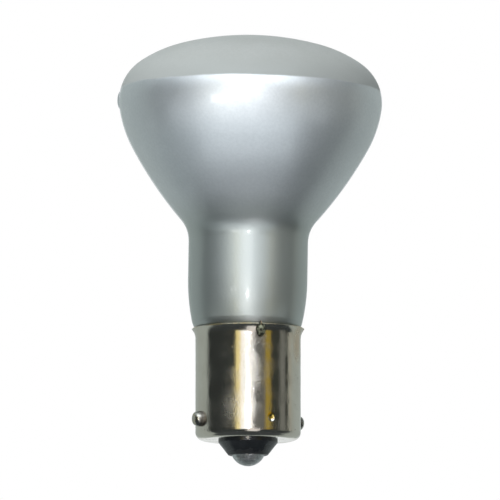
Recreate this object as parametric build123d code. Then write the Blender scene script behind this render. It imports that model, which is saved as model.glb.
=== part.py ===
from build123d import *
from math import asin, atan2, cos, degrees, radians, sin, sqrt
import os

# Small reflector light bulb on a single-contact bayonet cap, in millimetres.
# The origin is on the cap's axis, level with the two bayonet pins. +Z points
# from the cap to the domed face, and the pins lie along X.

# Cap shell, drawn from sheet
CAP_RADIUS = 7.6
CAP_WALL = 0.25
CAP_FLOOR = -2.8            # outside of the cap's floor
CAP_CORNER = 1.15
CAP_MOUTH = 13.27           # outer edge of the flared lip
CAP_FLARE_RADIUS = 2.3
CAP_FLARE_ANGLE = 38.5
CAP_OPENING_RADIUS = 4.28
DIMPLE_RADIUS = 0.9         # punch that stakes the cap between the pins
DIMPLE_DEPTH = 0.18
DIMPLE_DROP = 0.2
TOOTH_WIDTH = 0.5           # burr on the edge of the opening
TOOTH_LENGTH = 0.3
TOOTH_DEPTH = 0.2
TOOTH_BEARING = -116.4

# Glass envelope, outside sizes; it rises and sinks from the cap's mouth
REFLECTOR_RADIUS = 19.0     # widest place of the head
REFLECTOR_RISE = 33.0       # height of that place above the mouth
SHOULDER_RADIUS = 6.63      # turn from the flank into the face
SHOULDER_START = -7.2
SHOULDER_END = 55.2
FACE_EDGE_RADIUS = 17.8     # flatter ring between shoulder and face
FACE_ANGLE = 74.1
UPPER_FLANK_RADIUS = 16.7
UPPER_FLANK_ANGLE = -28.25
LOWER_FLANK_RADIUS = 57.7
NECK_OVERHANG = 1.02        # from the cap's wall out to the neck
NECK_FILLET = 4.67          # hollow turn from the neck into the flank
TAPER_RADIUS = 29.3         # slow turn inwards below the neck
HEEL_RADIUS = 3.2           # quick turn inwards at the cap's mouth
HEEL_RISE = 1.75            # height of that turn's centre above the mouth
HEEL_OVERHANG = 0.45        # from the cap's wall out to that turn's circle
THROAT_FILLET = 2.0
THROAT_INSET = 1.8          # from the cap's wall in to the tube that the cement holds
THROAT_DEPTH = 10.8
THROAT_CORNER = 2.0
GLASS_WALL = 0.8
TIP_RADIUS = 1.3            # sealed end of the exhaust tube
TIP_LENGTH = 2.0
GLASS_LEAN = 1.0            # degrees that the glass leans in its cement
LEAN_RISE = 10.2            # where the leaning axis crosses the cap's axis
SWELL_BEARING = 154.0       # low lens-shaped swelling at the widest place
SWELL_HEIGHT = 2.66
SWELL_WIDTH = 1.8
SWELL_DEPTH = 1.06
SWELL_PROUD = 0.23

# Bayonet pins, riveted through the shell
PIN_RADIUS = 1.08
PIN_SHANK_RADIUS = 0.9      # where it goes through the shell
PIN_LENGTH = 1.15           # outside the shell
PIN_ROUND = 0.4
PIN_HEAD_RADIUS = 1.3
PIN_HEAD_THICKNESS = 0.4
PIN_HEAD_GAP = 0.02

# Black glass insulator, contact plate and solder
INSULATOR_CLEARANCE = 0.1   # below the pins' inner heads
INSULATOR_NECK = 0.35       # straight stretch below the cap's floor
INSULATOR_HEIGHT = 2.18     # from the cap's floor down to the nose
INSULATOR_NOSE_RADIUS = 2.95
INSULATOR_NOSE_ROUND = 0.25
FUNNEL_RADIUS = 3.0
WIRE_HOLE_RADIUS = 0.6
PLATE_RADIUS = 1.9
PLATE_THICKNESS = 0.3
SOLDER_MARGIN = 0.45        # from the plate's edge out to the solder's
SOLDER_HEIGHT = 1.56

# Cement, lead wires and the solder bead at the cap's mouth
CEMENT_DEPTH = 8.2          # below the mouth
CEMENT_SET_BACK = 0.3
WIRE_RADIUS = 0.1
WIRE_START = 3.4            # from the glass tube's axis to each wire's exit
WIRE_DROP = 1.3             # below the glass before a wire turns
WIRE_BEND = 0.5
WIRE_GAP = 0.02             # between the wire and the cap's wall and lip
WIRE_TAIL_ANGLE = 20.0      # how far the wire runs back down outside the lip
CONTACT_WIRE_END = 0.5      # the wire stops this far above the solder's end
CONTACT_WIRE_BEARING = 77.5
SHELL_WIRE_BEARING = -102.5
BEAD_WIDTH = 1.4
BEAD_HEIGHT = 2.1
BEAD_DEPTH = 1.0
BEAD_DROP = 0.77            # from the mouth down to the bead's middle
BEAD_INSET = 0.25           # from the lip's edge in to the bead's middle

GOES_THROUGH = 2.0          # how far a cutting tool stands past what it cuts

# Sizes that follow from those above
CAP_INSIDE = CAP_RADIUS - CAP_WALL
CAP_FLARE_START = CAP_MOUTH - CAP_FLARE_RADIUS * sin(radians(CAP_FLARE_ANGLE))
LIP_ANGLE = 180 - CAP_FLARE_ANGLE
FLARE_CENTRE = Vector(CAP_RADIUS + CAP_FLARE_RADIUS, CAP_FLARE_START)
CORNER_CENTRE = Vector(CAP_RADIUS - CAP_CORNER, CAP_FLOOR + CAP_CORNER)
REFLECTOR_HEIGHT = CAP_MOUTH + REFLECTOR_RISE
NECK_RADIUS = CAP_RADIUS + NECK_OVERHANG
HEEL_CENTRE = Vector(CAP_RADIUS + HEEL_OVERHANG - HEEL_RADIUS, CAP_MOUTH + HEEL_RISE)
THROAT_RADIUS = CAP_RADIUS - THROAT_INSET
THROAT_BOTTOM = CAP_MOUTH - THROAT_DEPTH
LEAN_HEIGHT = CAP_MOUTH + LEAN_RISE
INSULATOR_TOP = -PIN_HEAD_RADIUS - INSULATOR_CLEARANCE
INSULATOR_NOSE = CAP_FLOOR - INSULATOR_HEIGHT
SOLDER_RADIUS = PLATE_RADIUS + SOLDER_MARGIN
SOLDER_END = INSULATOR_NOSE - SOLDER_HEIGHT
CEMENT_TOP = CAP_MOUTH - CEMENT_SET_BACK
CEMENT_BOTTOM = CAP_MOUTH - CEMENT_DEPTH


def on_circle(centre, radius, angle):
    """The point of a circle at an angle in degrees from the radial direction."""
    return Vector(
        centre.X + radius * cos(radians(angle)),
        centre.Y + radius * sin(radians(angle)),
    )


def height_between(point, across, reach):
    """How far above or below a point another lies, from its radius and their distance."""
    return sqrt(reach**2 - (across - point.X) ** 2)


def angle_to(start, end):
    """The direction from one point of an outline to another, in degrees."""
    return degrees(atan2(end.Y - start.Y, end.X - start.X))


def arc(centre, radius, start, end):
    """The arc of a circle from one angle to another, in degrees."""
    return CenterArc(centre, radius, start, end - start)


def spin(outline):
    """Turns a closed half outline, drawn as radius and height, about the cap's axis."""
    return revolve(Plane.XZ * make_face(outline), Axis.Z)


def turned(bearing, shape):
    """Places a shape drawn towards +X at a bearing in degrees about the cap's axis."""
    return Rot(0, 0, bearing) * shape


def glass_head(inset):
    """Face, shoulder and flank of the glass, from the axis down to the neck's fillet."""
    shoulder = Vector(REFLECTOR_RADIUS - SHOULDER_RADIUS, REFLECTOR_HEIGHT)
    face_edge = on_circle(shoulder, SHOULDER_RADIUS - FACE_EDGE_RADIUS, SHOULDER_END)
    edge_end = on_circle(face_edge, FACE_EDGE_RADIUS, FACE_ANGLE)
    face_radius = edge_end.X / cos(radians(FACE_ANGLE))
    face = Vector(0, edge_end.Y - face_radius * sin(radians(FACE_ANGLE)))
    upper = on_circle(shoulder, SHOULDER_RADIUS - UPPER_FLANK_RADIUS, SHOULDER_START)
    lower = on_circle(upper, UPPER_FLANK_RADIUS - LOWER_FLANK_RADIUS, UPPER_FLANK_ANGLE)
    across = NECK_RADIUS + NECK_FILLET
    reach = LOWER_FLANK_RADIUS + NECK_FILLET
    neck = Vector(across, lower.Y - height_between(lower, across, reach))
    meet = angle_to(lower, neck)
    return [
        arc(face, face_radius - inset, 90, FACE_ANGLE),
        arc(face_edge, FACE_EDGE_RADIUS - inset, FACE_ANGLE, SHOULDER_END),
        arc(shoulder, SHOULDER_RADIUS - inset, SHOULDER_END, SHOULDER_START),
        arc(upper, UPPER_FLANK_RADIUS - inset, SHOULDER_START, UPPER_FLANK_ANGLE),
        arc(lower, LOWER_FLANK_RADIUS - inset, UPPER_FLANK_ANGLE, meet),
        arc(neck, NECK_FILLET + inset, 180 + meet, 180),
    ]


def glass_neck(inset, neck_top):
    """Neck, taper and throat of the glass, down to the corner of its bottom."""
    heel = HEEL_CENTRE
    inner = NECK_RADIUS - TAPER_RADIUS
    rise = height_between(heel, inner, TAPER_RADIUS - HEEL_RADIUS)
    taper = Vector(inner, heel.Y + rise)
    taper_end = angle_to(taper, heel)
    outer = THROAT_RADIUS + THROAT_FILLET
    fall = height_between(heel, outer, HEEL_RADIUS + THROAT_FILLET)
    throat = Vector(outer, heel.Y - fall)
    meet = angle_to(heel, throat)
    corner = Vector(THROAT_RADIUS - THROAT_CORNER, THROAT_BOTTOM + THROAT_CORNER)
    return [
        Line(neck_top, (NECK_RADIUS - inset, taper.Y)),
        arc(taper, TAPER_RADIUS - inset, 0, taper_end),
        arc(heel, HEEL_RADIUS - inset, taper_end, meet),
        arc(throat, THROAT_FILLET + inset, 180 + meet, 180),
        Line((THROAT_RADIUS - inset, throat.Y), (THROAT_RADIUS - inset, corner.Y)),
        arc(corner, THROAT_CORNER - inset, 0, -90),
    ]


def glass_blank(inset):
    """The glass's form as a full solid, set in from the outside by the inset."""
    head = glass_head(inset)
    neck = glass_neck(inset, head[-1] @ 1)
    bottom = Vector(0, (neck[-1] @ 1).Y)
    outline = head + neck + [Line(neck[-1] @ 1, bottom), Line(bottom, head[0] @ 0)]
    return spin(outline)


def exhaust_tip():
    """The sealed end of the exhaust tube, below the glass's bottom."""
    round_centre = Vector(0, THROAT_BOTTOM - TIP_LENGTH + TIP_RADIUS)
    root = THROAT_BOTTOM + GLASS_WALL / 2
    outline = [
        Line((0, root), (TIP_RADIUS, root)),
        Line((TIP_RADIUS, root), (TIP_RADIUS, round_centre.Y)),
        arc(round_centre, TIP_RADIUS, 0, -90),
        Line(round_centre - Vector(0, TIP_RADIUS), (0, root)),
    ]
    return spin(outline)


def swelling():
    """Low lens-shaped swelling on the widest place of the glass."""
    lens = scale(Sphere(1), by=(SWELL_DEPTH / 2, SWELL_WIDTH / 2, SWELL_HEIGHT / 2))
    centre = REFLECTOR_RADIUS + SWELL_PROUD - SWELL_DEPTH / 2
    return turned(SWELL_BEARING, Pos(centre, 0, REFLECTOR_HEIGHT) * lens)


def lean(shape):
    """Leans a shape as the glass leans in its cement, towards +X."""
    return Pos(0, 0, LEAN_HEIGHT) * Rot(0, GLASS_LEAN, 0) * Pos(0, 0, -LEAN_HEIGHT) * shape


def glass_outside():
    """All that the glass takes up, with its inside filled."""
    return lean(glass_blank(0) + exhaust_tip())


def glass_envelope():
    """The sealed envelope: one closed wall of blown glass with its sealed tip."""
    outside = glass_blank(0) + exhaust_tip() + swelling()
    return lean(outside - glass_blank(GLASS_WALL))


def cap_side(inset):
    """Corner, wall and flare of the cap, upwards, set in by the inset."""
    wall = CAP_RADIUS - inset
    return [
        arc(CORNER_CENTRE, CAP_CORNER - inset, -90, 0),
        Line((wall, CORNER_CENTRE.Y), (wall, CAP_FLARE_START)),
        arc(FLARE_CENTRE, CAP_FLARE_RADIUS + inset, 180, LIP_ANGLE),
    ]


def dimple_punch(grow):
    """The round end of the punch that stakes the cap, at both sides along Y."""
    away = CAP_RADIUS - DIMPLE_DEPTH + DIMPLE_RADIUS
    ball = Sphere(DIMPLE_RADIUS + grow)
    return Pos(0, -away, -DIMPLE_DROP) * ball + Pos(0, away, -DIMPLE_DROP) * ball


def tooth():
    """The burr on the opening's edge, lying on the insulator."""
    base = CAP_OPENING_RADIUS + TOOTH_DEPTH
    corners = [(-TOOTH_WIDTH / 2, 0), (TOOTH_WIDTH / 2, 0), (0, -TOOTH_LENGTH)]
    sketch = Plane(origin=(base, 0, CAP_FLOOR), x_dir=(0, 1, 0), z_dir=(1, 0, 0))
    wedge = extrude(sketch * make_face(Polyline(*corners, close=True)), -2 * TOOTH_DEPTH)
    hole = Cylinder(CAP_OPENING_RADIUS, 2 * GOES_THROUGH)
    return turned(TOOTH_BEARING, wedge - Pos(0, 0, CAP_FLOOR) * hole)


def cap_shell():
    """Nickel-plated brass cap, drawn in one piece with a flared mouth."""
    outside = cap_side(0)
    inside = cap_side(CAP_WALL)
    floor_out = Vector(CAP_OPENING_RADIUS, CAP_FLOOR)
    floor_in = floor_out + Vector(0, CAP_WALL)
    outline = [
        Line(floor_out, outside[0] @ 0),
        *outside,
        Line(outside[-1] @ 1, inside[-1] @ 1),
        *inside,
        Line(inside[0] @ 0, floor_in),
        Line(floor_in, floor_out),
    ]
    bulge = dimple_punch(CAP_WALL) & Cylinder(CAP_RADIUS - CAP_WALL / 2, 2 * GOES_THROUGH)
    shell = spin(outline) + bulge - dimple_punch(0)
    hole = Rot(0, 90, 0) * Cylinder(PIN_SHANK_RADIUS, 2 * CAP_RADIUS + GOES_THROUGH)
    return shell - hole + tooth()


def bayonet_pin():
    """Riveted pin towards +X: its shoulder sits on the shell, its flat head inside."""
    head_out = sqrt(CAP_INSIDE**2 - PIN_HEAD_RADIUS**2) - PIN_HEAD_GAP
    head_in = head_out - PIN_HEAD_THICKNESS
    reach = CAP_RADIUS + PIN_LENGTH
    end_round = Vector(PIN_RADIUS - PIN_ROUND, reach - PIN_ROUND)
    outside = [
        Line((0, CAP_INSIDE), (PIN_RADIUS, CAP_INSIDE)),
        Line((PIN_RADIUS, CAP_INSIDE), (PIN_RADIUS, end_round.Y)),
        arc(end_round, PIN_ROUND, 0, 90),
        Line((end_round.X, reach), (0, reach)),
        Line((0, reach), (0, CAP_INSIDE)),
    ]
    rivet = Polyline(
        (0, head_in),
        (PIN_HEAD_RADIUS, head_in),
        (PIN_HEAD_RADIUS, head_out),
        (PIN_SHANK_RADIUS, head_out),
        (PIN_SHANK_RADIUS, end_round.Y),
        (0, end_round.Y),
        close=True,
    )
    seat = Cylinder(CAP_RADIUS, 2 * PIN_RADIUS + GOES_THROUGH)
    return Rot(0, 90, 0) * spin(outside) - seat + Rot(0, 90, 0) * spin(rivet)


def insulator_nose():
    """Outline of the insulator below the cap, from the plate's seat up to the floor."""
    nose_round = Vector(
        INSULATOR_NOSE_RADIUS - INSULATOR_NOSE_ROUND,
        INSULATOR_NOSE + INSULATOR_NOSE_ROUND,
    )
    cone_top = Vector(CAP_OPENING_RADIUS, CAP_FLOOR - INSULATOR_NECK)
    slope = angle_to(nose_round, cone_top)
    return [
        Line((PLATE_RADIUS, INSULATOR_NOSE), (nose_round.X, INSULATOR_NOSE)),
        arc(nose_round, INSULATOR_NOSE_ROUND, -90, slope - 90),
        Line(on_circle(nose_round, INSULATOR_NOSE_ROUND, slope - 90), cone_top),
        Line(cone_top, (CAP_OPENING_RADIUS, CAP_FLOOR + CAP_WALL)),
    ]


def insulator():
    """Black glass, moulded into the cap's floor, with a hole for the lead wire."""
    floor_in = CAP_FLOOR + CAP_WALL
    plate_top = INSULATOR_NOSE + PLATE_THICKNESS
    funnel_foot = INSULATOR_TOP - (FUNNEL_RADIUS - WIRE_HOLE_RADIUS) / 2
    outline = [
        *insulator_nose(),
        Line((CAP_OPENING_RADIUS, floor_in), (CORNER_CENTRE.X, floor_in)),
        arc(CORNER_CENTRE, CAP_CORNER - CAP_WALL, -90, 0),
        *Polyline(
            (CAP_INSIDE, CORNER_CENTRE.Y),
            (CAP_INSIDE, INSULATOR_TOP),
            (FUNNEL_RADIUS, INSULATOR_TOP),
            (WIRE_HOLE_RADIUS, funnel_foot),
            (WIRE_HOLE_RADIUS, plate_top),
            (PLATE_RADIUS, plate_top),
            (PLATE_RADIUS, INSULATOR_NOSE),
        ).edges(),
    ]
    return spin(outline)


def contact_plate():
    """Brass plate let into the insulator's nose."""
    outline = Polyline(
        (WIRE_HOLE_RADIUS, INSULATOR_NOSE),
        (PLATE_RADIUS, INSULATOR_NOSE),
        (PLATE_RADIUS, INSULATOR_NOSE + PLATE_THICKNESS),
        (WIRE_HOLE_RADIUS, INSULATOR_NOSE + PLATE_THICKNESS),
        close=True,
    )
    return spin(outline)


def contact_solder(wire):
    """Dome of solder over the plate, cast round the end of the lead wire."""
    ball = (SOLDER_RADIUS**2 + SOLDER_HEIGHT**2) / (2 * SOLDER_HEIGHT)
    centre = Vector(0, SOLDER_END + ball)
    start = degrees(asin((INSULATOR_NOSE - centre.Y) / ball))
    outline = [
        Line((0, INSULATOR_NOSE), (SOLDER_RADIUS, INSULATOR_NOSE)),
        arc(centre, ball, start, -90),
        Line((0, SOLDER_END), (0, INSULATOR_NOSE)),
    ]
    return spin(outline) - wire


def wire_along(stretches):
    """A round wire along joined stretches, drawn as radius and height."""
    path = Plane.XZ * Wire([edge for stretch in stretches for edge in stretch.edges()])
    section = Plane(path @ 0, z_dir=path % 0) * Circle(WIRE_RADIUS)
    return sweep(section, path=path)


def lead_wire_contact(glass):
    """Lead wire from the glass down through the insulator into the solder."""
    run = FilletPolyline(
        (WIRE_START, THROAT_BOTTOM + GLASS_WALL),
        (WIRE_START, THROAT_BOTTOM - WIRE_DROP),
        (0, INSULATOR_TOP - FUNNEL_RADIUS / 2),
        (0, SOLDER_END + CONTACT_WIRE_END),
        radius=WIRE_BEND,
    )
    return turned(CONTACT_WIRE_BEARING, wire_along([run])) - glass


def lead_wire_shell(glass):
    """Lead wire from the glass up between neck and cap, and round the cap's lip."""
    stand_off = WIRE_RADIUS + WIRE_GAP
    inside = CAP_INSIDE - stand_off
    inner_reach = CAP_FLARE_RADIUS + CAP_WALL + stand_off
    outer_reach = CAP_FLARE_RADIUS - stand_off
    lip_middle = on_circle(FLARE_CENTRE, CAP_FLARE_RADIUS + CAP_WALL / 2, LIP_ANGLE)
    run = FilletPolyline(
        (WIRE_START, THROAT_BOTTOM + GLASS_WALL),
        (WIRE_START, THROAT_BOTTOM - WIRE_DROP),
        (inside, THROAT_BOTTOM - WIRE_DROP),
        (inside, CAP_FLARE_START),
        radius=WIRE_BEND,
    )
    stretches = [
        run,
        arc(FLARE_CENTRE, inner_reach, 180, LIP_ANGLE),
        arc(lip_middle, CAP_WALL / 2 + stand_off, LIP_ANGLE, LIP_ANGLE - 180),
        arc(FLARE_CENTRE, outer_reach, LIP_ANGLE, LIP_ANGLE + WIRE_TAIL_ANGLE),
    ]
    return turned(SHELL_WIRE_BEARING, wire_along(stretches)) - glass


def basing_cement(glass, wire):
    """Ring of cement that holds the glass in the cap, shaped by both."""
    reach = CAP_FLARE_RADIUS + CAP_WALL
    top_angle = 180 - degrees(asin((CEMENT_TOP - CAP_FLARE_START) / reach))
    top = on_circle(FLARE_CENTRE, reach, top_angle)
    core = THROAT_RADIUS - GLASS_WALL
    outline = [
        Line((core, CEMENT_BOTTOM), (CAP_INSIDE, CEMENT_BOTTOM)),
        Line((CAP_INSIDE, CEMENT_BOTTOM), (CAP_INSIDE, CAP_FLARE_START)),
        arc(FLARE_CENTRE, reach, 180, top_angle),
        Line(top, (core, CEMENT_TOP)),
        Line((core, CEMENT_TOP), (core, CEMENT_BOTTOM)),
    ]
    return spin(outline) - glass - wire


def side_solder(shell, wire):
    """Bead of solder on the cap's lip, round the end of the lead wire."""
    lip_edge = on_circle(FLARE_CENTRE, CAP_FLARE_RADIUS, LIP_ANGLE)
    lip_inner = on_circle(FLARE_CENTRE, CAP_FLARE_RADIUS + CAP_WALL, LIP_ANGLE)
    drop = scale(Sphere(1), by=(BEAD_DEPTH / 2, BEAD_WIDTH / 2, BEAD_HEIGHT / 2))
    bead = turned(SHELL_WIRE_BEARING, Pos(lip_edge.X - BEAD_INSET, 0, CAP_MOUTH - BEAD_DROP) * drop)
    return bead - Cylinder(lip_inner.X, 2 * CAP_MOUTH + BEAD_HEIGHT) - shell - wire


def parts():
    """Each node's name and its solid, placed in the bulb."""
    glass = glass_outside()
    shell = cap_shell()
    wire_down = lead_wire_contact(glass)
    wire_up = lead_wire_shell(glass)
    pin = bayonet_pin()
    return {
        "glass_envelope": glass_envelope(),
        "cap_shell": shell,
        "bayonet_pin_right": pin,
        "bayonet_pin_left": turned(180, pin),
        "insulator": insulator(),
        "contact_plate": contact_plate(),
        "contact_solder": contact_solder(wire_down),
        "lead_wire_contact": wire_down,
        "lead_wire_shell": wire_up,
        "basing_cement": basing_cement(glass, wire_up),
        "side_solder": side_solder(shell, wire_up),
    }


os.makedirs("parts", exist_ok=True)
for name, solid in parts().items():
    export_step(solid, f"parts/{name}.step")
    print(name, "volume", round(solid.volume, 2))
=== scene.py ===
# %% [markdown]
# # A small reflector light bulb
# The bulb is a blown glass envelope in a nickel-plated bayonet cap. Its solids come
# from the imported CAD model, so every piece already has its true shape and place, in
# metres. This lesson adds the camera, the studio, the finishes and two domed pins.

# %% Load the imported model
import bpy
from math import cos, pi, radians, sin
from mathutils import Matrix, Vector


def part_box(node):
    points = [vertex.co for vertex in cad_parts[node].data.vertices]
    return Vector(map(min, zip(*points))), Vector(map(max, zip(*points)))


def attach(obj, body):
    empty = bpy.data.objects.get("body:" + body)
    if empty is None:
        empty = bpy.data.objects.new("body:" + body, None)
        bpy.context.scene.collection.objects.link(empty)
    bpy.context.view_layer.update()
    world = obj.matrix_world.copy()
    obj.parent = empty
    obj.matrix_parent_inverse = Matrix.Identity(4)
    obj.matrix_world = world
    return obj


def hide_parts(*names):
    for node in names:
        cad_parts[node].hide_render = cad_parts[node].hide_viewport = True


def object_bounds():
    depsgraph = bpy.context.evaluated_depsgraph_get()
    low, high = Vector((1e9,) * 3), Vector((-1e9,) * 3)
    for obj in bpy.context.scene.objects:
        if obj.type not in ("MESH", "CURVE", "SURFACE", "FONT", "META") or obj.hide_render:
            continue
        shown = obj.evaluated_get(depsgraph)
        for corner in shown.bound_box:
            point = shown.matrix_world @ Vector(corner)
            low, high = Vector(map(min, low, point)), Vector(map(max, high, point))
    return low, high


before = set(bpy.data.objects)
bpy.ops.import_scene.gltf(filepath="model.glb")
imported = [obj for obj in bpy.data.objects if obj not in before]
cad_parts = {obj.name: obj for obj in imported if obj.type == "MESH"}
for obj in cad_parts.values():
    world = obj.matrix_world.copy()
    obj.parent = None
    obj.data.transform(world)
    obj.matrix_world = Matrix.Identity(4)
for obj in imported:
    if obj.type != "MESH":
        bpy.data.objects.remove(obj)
cad_low, cad_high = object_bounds()
MM = 0.001
print("pieces:", ", ".join(sorted(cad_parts)))
print("height in mm:", round((cad_high.z - cad_low.z) / MM, 2))

# %% [markdown]
# ## Camera
# The photograph was taken with a long lens, from a little below the horizon: the
# cap's rings curve upwards in the middle. An orthographic camera would come close,
# but a lens of 1000 mm at 2 m keeps the slight perspective of a real picture. A
# bearing is an angle about the bulb's axis from +X, and here it says from which side
# the camera looks. AIM is the point that comes to the middle of the picture.

# %% Place the camera
from mathutils import Vector

CAMERA_BEARING = -116.0
CAMERA_ELEVATION = -6.4
CAMERA_DISTANCE = 2.0
LENS_LENGTH = 1000.0
FILM_WIDTH = 36.0
CLIP_NEAR = 0.05
CLIP_FAR = 20.0
AIM = Vector((-0.951, -2.590, 24.467)) * MM


def direction(bearing, elevation):
    """Unit vector that points away from the bulb at a bearing and an elevation."""
    b, e = radians(bearing), radians(elevation)
    return Vector((cos(b) * cos(e), sin(b) * cos(e), sin(e)))


to_camera = direction(CAMERA_BEARING, CAMERA_ELEVATION)
camera_data = bpy.data.cameras.new("camera")
camera_data.lens = LENS_LENGTH
camera_data.sensor_width = FILM_WIDTH
camera_data.clip_start = CLIP_NEAR
camera_data.clip_end = CLIP_FAR
camera = bpy.data.objects.new("camera", camera_data)
camera.location = AIM + to_camera * CAMERA_DISTANCE
camera.rotation_mode = "QUATERNION"
camera.rotation_quaternion = to_camera.to_track_quat("Z", "Y")
bpy.context.scene.collection.objects.link(camera)
bpy.context.scene.camera = camera
bpy.context.scene.view_settings.view_transform = "Standard"
print("camera at", [round(c, 4) for c in camera.location])

# %% [markdown]
# ## Helpers for node trees
# A finish is a tree of nodes. It can be joined up by hand in the shader editor, but
# code can be read, copied and run again. These helpers add a node, do sums, weaken a
# mask, and blend colours or values, so that each finish below reads as a short recipe.
# A Mix node has sockets for every kind of data: 2 and 3 are values, 6 and 7 colours.


# %% Helpers for node trees
def place(tree, kind, sockets=None, **settings):
    """Adds a node to a tree. A socket takes a plain value or another node's output."""
    made = tree.nodes.new(kind)
    for name, value in settings.items():
        setattr(made, name, value)
    for name, value in (sockets or {}).items():
        if isinstance(value, bpy.types.NodeSocket):
            tree.links.new(value, made.inputs[name])
        else:
            made.inputs[name].default_value = value
    return made


def calculate(tree, operation, *values):
    """A Math node's result."""
    return place(tree, "ShaderNodeMath", dict(enumerate(values)), operation=operation).outputs[0]


def weaken(tree, mask, share):
    """The same mask, but only a share as strong."""
    return calculate(tree, "MULTIPLY", mask, share)


def blend_colours(tree, mask, first, second):
    """The first colour where the mask is 0, the second where it is 1."""
    mix = place(tree, "ShaderNodeMix", data_type="RGBA")
    for socket, value in ((0, mask), (6, first), (7, second)):
        if isinstance(value, bpy.types.NodeSocket):
            tree.links.new(value, mix.inputs[socket])
        else:
            mix.inputs[socket].default_value = value if socket == 0 else (*value, 1.0)
    return mix.outputs[2]


def blend_values(tree, mask, first, second):
    """The first value where the mask is 0, the second where it is 1."""
    sockets = {0: mask, 2: first, 3: second}
    return place(tree, "ShaderNodeMix", sockets, data_type="FLOAT").outputs[0]


# %% [markdown]
# ## The world
# The photograph has a plain white background. A bright white wall could give it, but
# would light the bulb as well. A world can tell rays apart: it is white for the
# camera, and for rays that leave metal or glass where no card is in their way. Matt
# surfaces get only a plain grey light from it, which leaves room for a soft key lamp.

# %% Build the world
ROOM_LIGHT = 0.20
SEEN_LIGHT = 1.0
WHITE = (1.0, 1.0, 1.0, 1.0)

world = bpy.data.worlds.new("white_room")
bpy.context.scene.world = world
world.use_nodes = True
# rays meet the world by themselves, so none are aimed at it as they are at a lamp
world.cycles.sampling_method = "NONE"
room = world.node_tree
room.nodes.clear()
path = place(room, "ShaderNodeLightPath")
seen = calculate(room, "MAXIMUM", path.outputs["Is Camera Ray"], path.outputs["Is Glossy Ray"])
seen = calculate(room, "MAXIMUM", seen, path.outputs["Is Transmission Ray"])
level = blend_values(room, seen, ROOM_LIGHT, SEEN_LIGHT)
background = place(room, "ShaderNodeBackground", {"Color": WHITE, "Strength": level})
place(room, "ShaderNodeOutputWorld", {"Surface": background.outputs[0]})
print("room light on matt surfaces:", ROOM_LIGHT)

# %% [markdown]
# ## Floor
# The bulb stands on its solder contact, and a wide pale floor takes its shadow. A
# square plane would do too, but a round one has no corners to show. The camera looks
# from below the floor's level, so the floor's underside lets it look through, and
# Backfacing tells the two sides apart. The floor casts no shadow of its own, so it
# takes no light from the bulb.

# %% Lay the floor
FLOOR_RADIUS = 1.6
FLOOR_COLOUR = (0.86, 0.87, 0.87)
FLOOR_SEGMENTS = 96
FLOOR_GAP = 0.05 * MM


def disc(name, radius, height):
    """A flat round mesh at a height."""
    mesh = bpy.data.meshes.new(name)
    ring = [2 * pi * i / FLOOR_SEGMENTS for i in range(FLOOR_SEGMENTS)]
    rim = [(radius * cos(a), radius * sin(a), height) for a in ring]
    mesh.from_pydata(rim, [], [range(FLOOR_SEGMENTS)])
    made = bpy.data.objects.new(name, mesh)
    bpy.context.scene.collection.objects.link(made)
    return made


floor = disc("floor", FLOOR_RADIUS, cad_low.z - FLOOR_GAP)
floor_paint = bpy.data.materials.new("floor_paint")
floor_paint.use_nodes = True
tree = floor_paint.node_tree
tree.nodes.clear()
side = place(tree, "ShaderNodeNewGeometry").outputs["Backfacing"]
paint = place(tree, "ShaderNodeBsdfDiffuse", {"Color": (*FLOOR_COLOUR, 1.0)})
clear = place(tree, "ShaderNodeBsdfTransparent")
both = {0: side, 1: paint.outputs[0], 2: clear.outputs[0]}
surface = place(tree, "ShaderNodeMixShader", both)
place(tree, "ShaderNodeOutputMaterial", {"Surface": surface.outputs[0]})
floor.data.materials.append(floor_paint)
floor.visible_glossy = False
floor.visible_shadow = False
print("floor at z in mm:", round((cad_low.z - FLOOR_GAP) / MM, 3))

# %% [markdown]
# ## Cards that the metal reflects
# Polished metal shows its surroundings, so a photographer shapes them with cards:
# white ones draw bright stripes, black ones draw the dark bands that make metal look
# like metal. Area lamps could do for the white ones, but a card of glowing mesh can
# be dark too, and has crisp edges. Each card is a patch of a large ball about the
# bulb. Azimuth 0 is towards the camera and grows to the picture's right. The cards are
# seen by mirror rays only, so they change nothing else in the room.

# %% Helpers for cards
CARD_STEP = 6.0
CARD_CENTRE = Vector((0, 0, 0.024))
RAYS_THAT_MISS = ("camera", "diffuse", "transmission", "volume_scatter", "shadow")


def steps(first, last, spacing):
    """Evenly spaced numbers from first to last, about a spacing apart."""
    count = max(2, int((last - first) / spacing) + 2)
    return [first + (last - first) * i / (count - 1) for i in range(count)]


def glowing_sheet(name, rows, colour, small=False, one_sided=False):
    """A mesh through rows of points, with a plain glow that only mirror rays see."""
    columns = len(rows[0])
    corners = [r * columns + c for r in range(len(rows) - 1) for c in range(columns - 1)]
    faces = [(k, k + 1, k + columns + 1, k + columns) for k in corners]
    mesh = bpy.data.meshes.new(name)
    mesh.from_pydata([point for row in rows for point in row], [], faces)
    made = bpy.data.objects.new(name, mesh)
    bpy.context.scene.collection.objects.link(made)
    glow = bpy.data.materials.new(name)
    glow.use_nodes = True
    glow.node_tree.nodes.clear()
    surface = place(glow.node_tree, "ShaderNodeEmission", {"Color": (*colour, 1.0)})
    if one_sided:
        underside = place(glow.node_tree, "ShaderNodeNewGeometry").outputs["Backfacing"]
        clear = place(glow.node_tree, "ShaderNodeBsdfTransparent")
        both = {0: underside, 1: surface.outputs[0], 2: clear.outputs[0]}
        surface = place(glow.node_tree, "ShaderNodeMixShader", both)
    place(glow.node_tree, "ShaderNodeOutputMaterial", {"Surface": surface.outputs[0]})
    # a large card is found by mirror rays alone, and a small bright one is aimed at
    glow.cycles.emission_sampling = "FRONT_BACK" if small else "NONE"
    mesh.materials.append(glow)
    for ray in RAYS_THAT_MISS:
        setattr(made, "visible_" + ray, False)
    return made


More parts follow.
